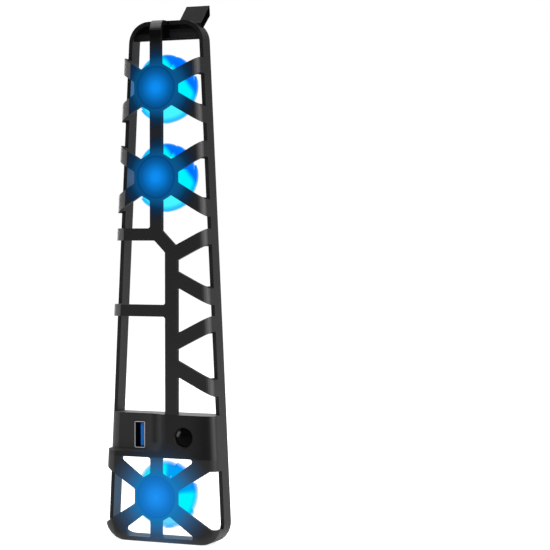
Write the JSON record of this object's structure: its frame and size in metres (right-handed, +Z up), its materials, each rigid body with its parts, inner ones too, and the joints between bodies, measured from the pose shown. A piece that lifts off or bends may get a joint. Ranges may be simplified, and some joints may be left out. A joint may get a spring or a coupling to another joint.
{
  "type": "console cooling fan",
  "caption": "Tall tapered clip-on frame with lit open fans on spoked hubs, a pass-through data socket, a push button and a top hook; cools the back of a console.",
  "frame": {"origin": "rear rim plane, at the middle of the frame's bottom edge", "axes": "+X to the right seen from the front, +Y to the rear towards the cooled device, +Z up"},
  "size_m": [0.064, 0.0288, 0.2674],
  "materials": {
    "frame_plastic": "fine moulded grain, satin on the edges",
    "button_plastic": "satin",
    "lit_cap": "lit from behind in blue",
    "lit_blades": "clear blue plastic lit by the lamps",
    "blue_insulator": "moulded",
    "plated_shell": "plated sheet",
    "gilt_contacts": "gilt",
    "screw_steel": "zinc plated",
    "board_green": "circuit board with solder mask",
    "board_white": "circuit board with white solder mask",
    "chip_black": "moulded",
    "stem_white": "moulded",
    "lead_sheath": "soft sheath",
    "lamp": "clear lamp body",
    "bearing_bronze": "sintered",
    "core_steel": "laminated",
    "copper": "enamelled wire",
    "magnet": "bonded magnet",
    "shaft_steel": "ground"
  },
  "bodies": {
    "frame": {"front_frame": "frame_plastic", "top_hook": "frame_plastic", "pod_rear_cover": "frame_plastic", "cover_screws": "screw_steel", "socket_shell": "plated_shell", "socket_tongue": "blue_insulator", "socket_contacts": "gilt_contacts", "port_board": "board_green", "plug_shell": "plated_shell", "plug_tongue": "blue_insulator", "plug_contacts": "gilt_contacts", "control_board": "board_green", "control_parts": "chip_black", "tact_switch": "chip_black", "spine_cover": "frame_plastic", "bridge_cover": "frame_plastic", "main_lead": "lead_sheath", "bridge_lead": "lead_sheath", "lower_lead": "lead_sheath", "feed_lead": "lead_sheath", "top_hub_cap": "lit_cap", "top_fan_board": "board_white", "top_fan_leds": "lamp", "top_fan_bearing": "bearing_bronze", "top_stator_core": "core_steel", "top_stator_coils": "copper", "middle_hub_cap": "lit_cap", "middle_fan_board": "board_white", "middle_fan_leds": "lamp", "middle_fan_bearing": "bearing_bronze", "middle_stator_core": "core_steel", "middle_stator_coils": "copper", "lower_hub_cap": "lit_cap", "lower_fan_board": "board_white", "lower_fan_leds": "lamp", "lower_fan_bearing": "bearing_bronze", "lower_stator_core": "core_steel", "lower_stator_coils": "copper"},
    "top_rotor": {"top_impeller": "lit_blades", "top_rotor_yoke": "core_steel", "top_rotor_magnet": "magnet", "top_rotor_shaft": "shaft_steel", "top_shaft_clip": "stem_white"},
    "middle_rotor": {"middle_impeller": "lit_blades", "middle_rotor_yoke": "core_steel", "middle_rotor_magnet": "magnet", "middle_rotor_shaft": "shaft_steel", "middle_shaft_clip": "stem_white"},
    "lower_rotor": {"lower_impeller": "lit_blades", "lower_rotor_yoke": "core_steel", "lower_rotor_magnet": "magnet", "lower_rotor_shaft": "shaft_steel", "lower_shaft_clip": "stem_white"},
    "button": {"power_button": "button_plastic", "switch_stem": "stem_white"}
  },
  "joints": [
    {"name": "top_fan_spin", "type": "hinge", "parent": "frame", "child": "top_rotor", "pos_m": [-0.0023, -0.008, 0.22575], "axis": [0, 1, 0], "continuous": true},
    {"name": "middle_fan_spin", "type": "hinge", "parent": "frame", "child": "middle_rotor", "pos_m": [-0.0023, -0.008, 0.18155], "axis": [0, 1, 0], "continuous": true},
    {"name": "lower_fan_spin", "type": "hinge", "parent": "frame", "child": "lower_rotor", "pos_m": [-0.0023, -0.008, 0.0229], "axis": [0, 1, 0], "continuous": true},
    {"name": "button_press", "type": "slide", "parent": "frame", "child": "button", "axis": [0, 1, 0], "range_m": [0, 0.001], "stiffness_N_per_m": 800}
  ]
}
